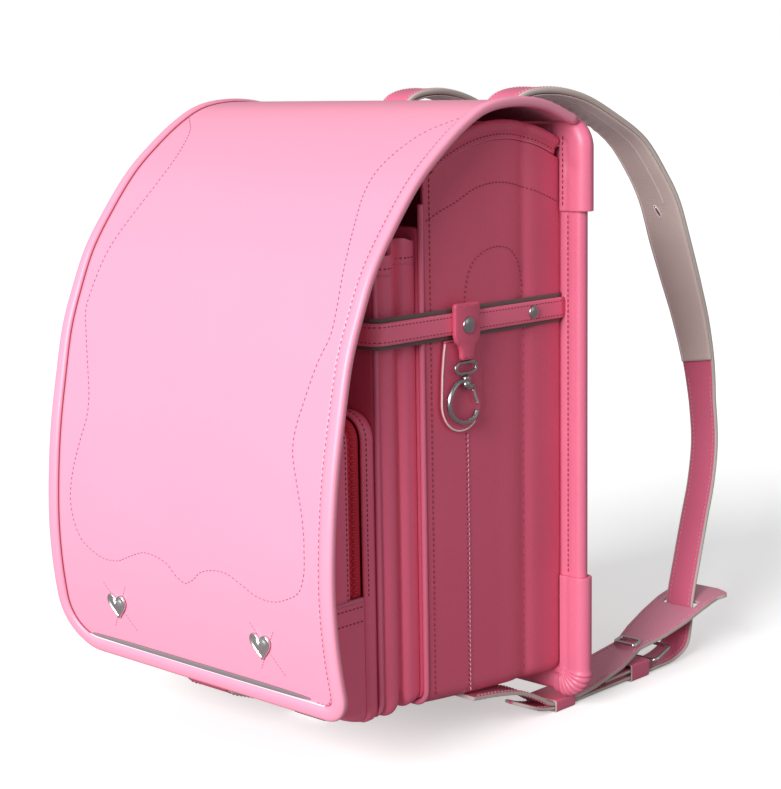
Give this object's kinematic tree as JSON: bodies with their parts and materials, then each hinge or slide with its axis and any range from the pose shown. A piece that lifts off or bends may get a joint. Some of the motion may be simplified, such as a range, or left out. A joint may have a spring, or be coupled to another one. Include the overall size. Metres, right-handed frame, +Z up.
{
  "type": "school ransel",
  "caption": "Upright leather school satchel with a full-length flap over two compartments and a zip pocket, shoulder straps behind and a snap hook on each side.",
  "frame": {"origin": "centre of the bounding box at the floor that the satchel stands on", "axes": "+Z up; -Y is where the flap's front faces; +Y is the wearer's side with the shoulder straps; +X is the side that the picture shows"},
  "size_m": [0.2692, 0.425, 0.3943],
  "materials": {
    "flap_leather": "smooth coated leather with a fine grain and a soft shine, light pink",
    "body_leather": "smooth coated leather with a soft shine, deeper pink",
    "trim_leather": "smooth coated leather with a soft shine, pink",
    "back_lining": "soft matt leather, beige",
    "zip_fabric": "woven tape, dark red",
    "reflective_band": "grey coated band with a fine grain",
    "steel": "polished plated steel"
  },
  "bodies": {
    "bag": {"back_panel": "body_leather", "flange_binding": "trim_leather", "corner_cap_right": "trim_leather", "corner_cap_left": "trim_leather", "corner_patch_right": "trim_leather", "corner_patch_left": "trim_leather", "back_pad": "back_lining", "strap_anchor": "body_leather", "main_gusset": "body_leather", "main_piping": "body_leather", "main_front_panel": "body_leather", "side_hem_right": "body_leather", "side_hem_left": "body_leather", "small_gusset": "body_leather", "small_piping": "body_leather", "small_front_panel": "body_leather", "zip_gusset_rear": "body_leather", "zip_tape": "zip_fabric", "zip_gusset_front": "body_leather", "zip_base": "body_leather", "zip_front_panel": "body_leather", "flap": "flap_leather", "flap_rim": "flap_leather", "flap_strip": "reflective_band", "heart_rivet_right": "steel", "heart_rivet_left": "steel", "belt_backing": "reflective_band", "side_belt": "body_leather", "belt_rivet_right": "steel", "belt_rivet_left": "steel", "hook_hanger_right": "body_leather", "hook_hanger_left": "body_leather", "hanger_rivet_right": "steel", "hanger_rivet_left": "steel", "hook_pad_right": "body_leather", "hook_pad_left": "body_leather", "hook_ring_right": "steel", "hook_ring_left": "steel", "hook_body_right": "steel", "hook_body_left": "steel", "shoulder_strap_right": "body_leather", "shoulder_strap_left": "body_leather", "strap_lining_right": "back_lining", "strap_lining_left": "back_lining", "lower_strap_right": "body_leather", "lower_strap_left": "body_leather", "buckle_loop_right": "body_leather", "buckle_loop_left": "body_leather", "keeper_front_right": "body_leather", "keeper_front_left": "body_leather", "keeper_rear_right": "body_leather", "keeper_rear_left": "body_leather", "buckle_right": "steel", "buckle_left": "steel", "buckle_prong_right": "steel", "buckle_prong_left": "steel", "tongue": "body_leather", "lock": "steel"},
    "gate_right": {"hook_gate_right": "steel"},
    "gate_left": {"hook_gate_left": "steel"}
  },
  "joints": [
    {"name": "gate_right_hinge", "type": "hinge", "parent": "bag", "child": "gate_right", "pos_m": [0.1176, -0.0819, 0.22036], "axis": [-1, 0, 0], "range_deg": [0, 28], "stiffness_Nm_per_rad": 0.005, "springref_deg": -5.73},
    {"name": "gate_left_hinge", "type": "hinge", "parent": "bag", "child": "gate_left", "pos_m": [-0.1176, -0.0819, 0.22036], "axis": [-1, 0, 0], "range_deg": [0, 28], "stiffness_Nm_per_rad": 0.005, "springref_deg": -5.73}
  ]
}
